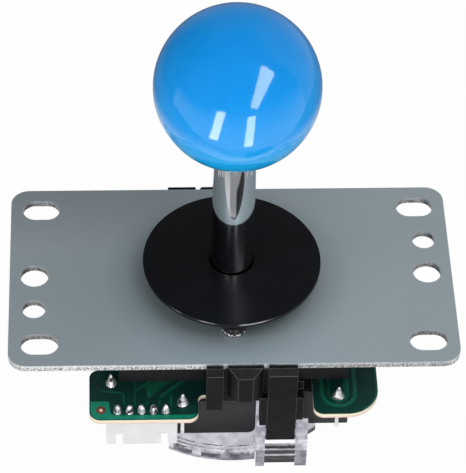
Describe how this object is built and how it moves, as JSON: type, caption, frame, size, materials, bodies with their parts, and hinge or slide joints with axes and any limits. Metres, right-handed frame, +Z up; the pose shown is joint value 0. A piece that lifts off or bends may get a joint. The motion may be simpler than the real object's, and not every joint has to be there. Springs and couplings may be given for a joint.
{
  "type": "arcade joystick",
  "caption": "Arcade lever joystick: ball grip on a chrome shaft through a slotted flat mounting plate, with a spring-centred pivot, microswitches on a circuit board and a clear restrictor gate.",
  "frame": {"origin": "lever axis at the top face of the mounting plate, which is the centre of its slot pattern", "axes": "+Z up along the lever at rest, +X to the right along the plate's long side, -Y the front with the connector"},
  "size_m": [0.0974, 0.0618, 0.1053],
  "materials": {
    "plate_steel": "satin grey plating with bright cut edges",
    "black_screw": "black, slightly glossy",
    "black_plastic": "moulded black, satin",
    "board_green": "dark green solder mask over glass fibre",
    "white_plastic": "moulded white",
    "tinned_metal": "tinned",
    "solder": "bright solder",
    "switch_plastic": "moulded black, matt",
    "blade_brass": "rolled strip",
    "plunger_plastic": "moulded, off-white",
    "clear_plastic": "clear with a faint lilac tint",
    "spring_steel": "bright wire",
    "white_nylon": "greased, satin",
    "shaft_chrome": "polished plating",
    "ball_blue": "polished azure",
    "insert_brass": "turned",
    "washer_black": "black, satin sheen"
  },
  "bodies": {
    "base": {"mounting_plate": "plate_steel", "plate_screws": "black_screw", "main_housing": "black_plastic", "circuit_board": "board_green", "connector_shell": "white_plastic", "connector_pins": "tinned_metal", "solder_joints": "solder", "switch_case_front": "switch_plastic", "switch_case_right": "switch_plastic", "switch_case_rear": "switch_plastic", "switch_case_left": "switch_plastic", "switch_lids": "switch_plastic", "contact_blades": "blade_brass", "switch_terminals": "tinned_metal", "restrictor_gate": "clear_plastic"},
    "spring": {"return_spring": "spring_steel"},
    "lever_head": {"pivot_ball": "white_nylon", "actuator": "black_plastic"},
    "lever": {"lever_shaft": "shaft_chrome", "ball_top": "ball_blue", "ball_insert": "insert_brass", "retaining_ring": "spring_steel"},
    "seat": {"spring_seat": "black_plastic"},
    "washer": {"dust_washer": "washer_black"},
    "front_plunger": {"plunger_front": "plunger_plastic"},
    "right_plunger": {"plunger_right": "plunger_plastic"},
    "rear_plunger": {"plunger_rear": "plunger_plastic"},
    "left_plunger": {"plunger_left": "plunger_plastic"}
  },
  "joints": [
    {"name": "tilt_front_back", "type": "hinge", "parent": "base", "child": "spring", "pos_m": [0, 0, -0.0045], "axis": [1, 0, 0], "range_deg": [-8.5, 8.5], "stiffness_Nm_per_rad": 0.6, "deforming": ["return_spring"]},
    {"name": "tilt_left_right", "type": "hinge", "parent": "spring", "child": "lever_head", "pos_m": [0, 0, -0.0045], "axis": [0, 1, 0], "range_deg": [-8.5, 8.5], "stiffness_Nm_per_rad": 0.6, "deforming": ["return_spring"]},
    {"name": "lever_spin", "type": "hinge", "parent": "lever_head", "child": "lever", "pos_m": [0, 0, 0], "axis": [0, 0, 1], "continuous": true},
    {"name": "washer_sideways", "type": "slide", "parent": "base", "child": "seat", "axis": [1, 0, 0], "range_m": [-0.00133, 0.00133]},
    {"name": "washer_front_back", "type": "slide", "parent": "seat", "child": "washer", "axis": [0, 1, 0], "range_m": [-0.00133, 0.00133]},
    {"name": "front_press", "type": "slide", "parent": "base", "child": "front_plunger", "axis": [0, 1, 0], "range_m": [-0.0015, 0.0015]},
    {"name": "right_press", "type": "slide", "parent": "base", "child": "right_plunger", "axis": [1, 0, 0], "range_m": [-0.0015, 0.0015]},
    {"name": "rear_press", "type": "slide", "parent": "base", "child": "rear_plunger", "axis": [0, 1, 0], "range_m": [-0.0015, 0.0015]},
    {"name": "left_press", "type": "slide", "parent": "base", "child": "left_plunger", "axis": [1, 0, 0], "range_m": [-0.0015, 0.0015]}
  ],
  "couplings": [
    {"joint": "washer_sideways", "follows": "tilt_left_right", "m_per_rad": 0.0089},
    {"joint": "washer_front_back", "follows": "tilt_front_back", "m_per_rad": -0.0089},
    {"joint": "front_press", "follows": "tilt_front_back", "m_per_rad": 0.0101},
    {"joint": "rear_press", "follows": "tilt_front_back", "m_per_rad": 0.0101},
    {"joint": "right_press", "follows": "tilt_left_right", "m_per_rad": -0.0101},
    {"joint": "left_press", "follows": "tilt_left_right", "m_per_rad": -0.0101}
  ]
}
